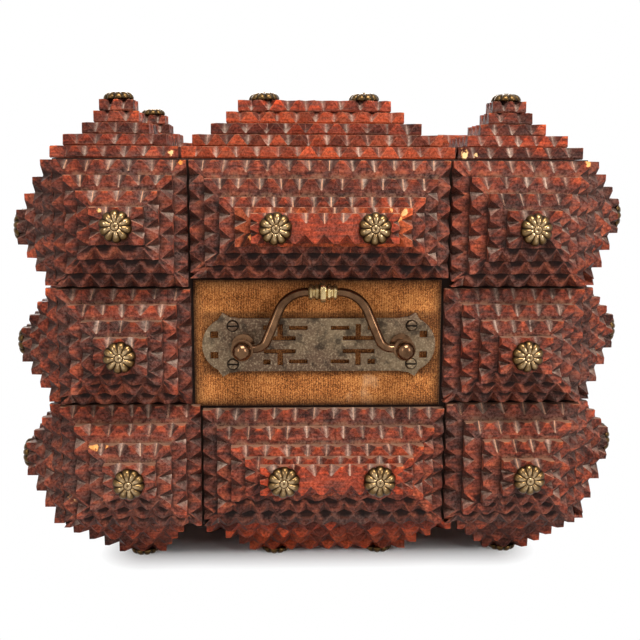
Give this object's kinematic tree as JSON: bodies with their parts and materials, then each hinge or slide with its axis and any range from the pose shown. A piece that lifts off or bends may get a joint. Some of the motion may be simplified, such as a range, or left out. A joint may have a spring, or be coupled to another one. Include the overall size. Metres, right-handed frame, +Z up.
{
  "type": "tramp art box",
  "caption": "hinged wooden keepsake box built up from stepped pyramids of chip-carved layers, with brass rosette nails, velvet panels and a swinging bail handle",
  "frame": {"origin": "on the floor under the middle of the box", "axes": "+X to the right seen from the handle side, +Y to the hinges, +Z up"},
  "size_m": [0.3038, 0.2552, 0.2354],
  "materials": {
    "carved_wood": "worn red-brown stain",
    "carcass_wood": "dark stained board",
    "velvet": "worn pile",
    "rosette_brass": "antique, dark in the grooves",
    "handle_brass": "antique",
    "plate_bronze": "dark patina",
    "hinge_brass": "dull"
  },
  "bodies": {
    "box": {"bottom_board": "carcass_wood", "front_wall": "carcass_wood", "back_wall": "carcass_wood", "left_wall": "carcass_wood", "right_wall": "carcass_wood", "front_top_left_pyramid": "carved_wood", "front_top_centre_pyramid": "carved_wood", "front_top_right_pyramid": "carved_wood", "front_middle_left_pyramid": "carved_wood", "front_middle_right_pyramid": "carved_wood", "front_bottom_left_pyramid": "carved_wood", "front_bottom_centre_pyramid": "carved_wood", "front_bottom_right_pyramid": "carved_wood", "back_top_pyramids": "carved_wood", "back_middle_pyramids": "carved_wood", "back_bottom_pyramids": "carved_wood", "left_top_pyramids": "carved_wood", "left_middle_pyramids": "carved_wood", "left_bottom_pyramids": "carved_wood", "right_top_pyramids": "carved_wood", "right_middle_pyramids": "carved_wood", "right_bottom_pyramids": "carved_wood", "front_left_foot": "carved_wood", "front_centre_foot": "carved_wood", "front_right_foot": "carved_wood", "back_left_foot": "carved_wood", "back_centre_foot": "carved_wood", "back_right_foot": "carved_wood", "front_velvet": "velvet", "back_velvet": "velvet", "left_velvet": "velvet", "right_velvet": "velvet", "front_rosettes": "rosette_brass", "back_rosettes": "rosette_brass", "left_rosettes": "rosette_brass", "right_rosettes": "rosette_brass", "foot_rosettes": "rosette_brass", "handle_plate": "plate_bronze", "handle_posts": "handle_brass", "handle_screws": "plate_bronze", "hinge_box_leaves": "hinge_brass", "hinge_pins": "hinge_brass", "hinge_box_screws": "hinge_brass"},
    "lid": {"lid_board": "carcass_wood", "lid_velvet_panel": "velvet", "lid_front_left_pyramid": "carved_wood", "lid_front_centre_pyramid": "carved_wood", "lid_front_right_pyramid": "carved_wood", "lid_back_left_pyramid": "carved_wood", "lid_back_centre_pyramid": "carved_wood", "lid_back_right_pyramid": "carved_wood", "lid_rosettes": "rosette_brass", "hinge_lid_leaves": "hinge_brass", "hinge_lid_screws": "hinge_brass"},
    "bail": {"handle_bail": "handle_brass", "bail_ferrule": "handle_brass"}
  },
  "joints": [
    {"name": "lid_hinge", "type": "hinge", "parent": "box", "child": "lid", "pos_m": [0, 0.0982, 0.2027], "axis": [-1, 0, 0], "range_deg": [0, 100]},
    {"name": "bail_swing", "type": "hinge", "parent": "box", "child": "bail", "pos_m": [0, -0.1085, 0.11535], "axis": [1, 0, 0], "range_deg": [0, 190]}
  ]
}
